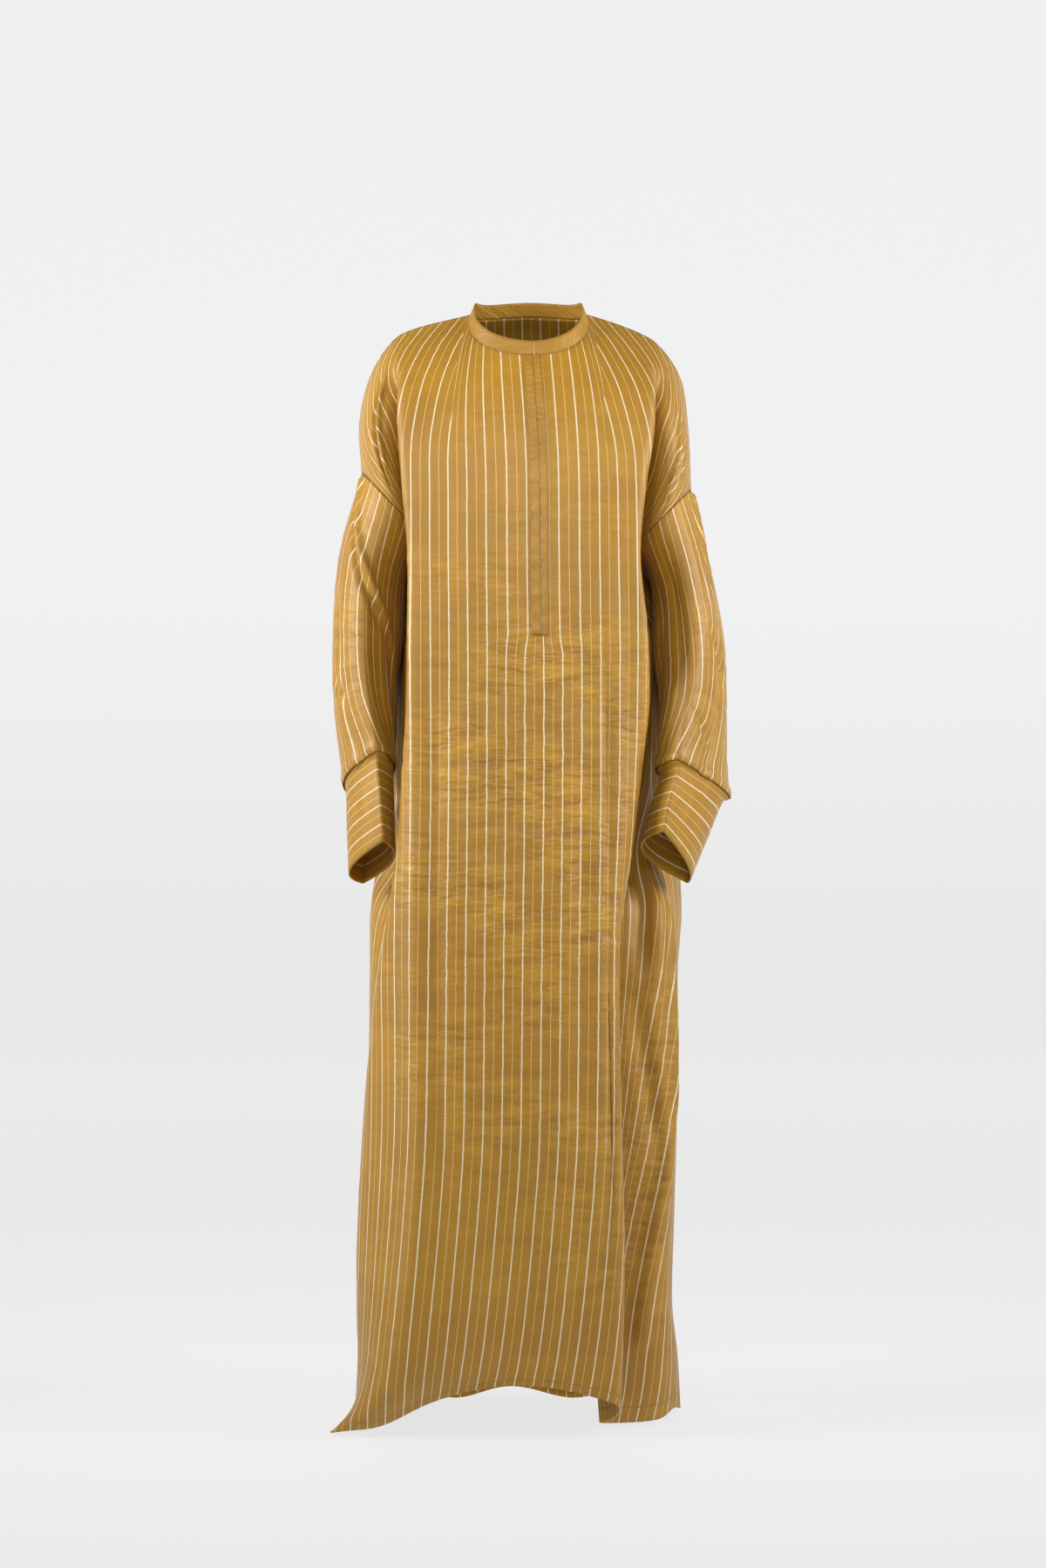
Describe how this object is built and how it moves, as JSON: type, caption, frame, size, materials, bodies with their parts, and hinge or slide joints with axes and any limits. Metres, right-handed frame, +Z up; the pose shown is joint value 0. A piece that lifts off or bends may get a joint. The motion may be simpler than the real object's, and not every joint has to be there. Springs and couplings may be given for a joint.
{
  "type": "abaya",
  "caption": "Long loose striped abaya in its worn form, with dropped shoulders, full sleeves, deep cuffs, a low neckband and a short front opening.",
  "frame": {"origin": "level with the neck ends of the shoulder seams and midway between them, where the wearer's shoulders hold it up", "axes": "+Z up, -Y to the wearer's front, +X to the wearer's left"},
  "size_m": [0.5169, 0.418, 1.4542],
  "materials": {
    "striped_cloth": "satin weave with a narrow pale stripe",
    "band_cloth": "the same satin weave without the stripe"
  },
  "bodies": {
    "root": {"front": "striped_cloth", "back": "striped_cloth", "neckband": "band_cloth", "opening_strip_right": "band_cloth", "opening_strip_left": "band_cloth", "sleeve_right": "striped_cloth", "cuff_right": "striped_cloth", "sleeve_left": "striped_cloth", "cuff_left": "striped_cloth"}
  },
  "joints": []
}
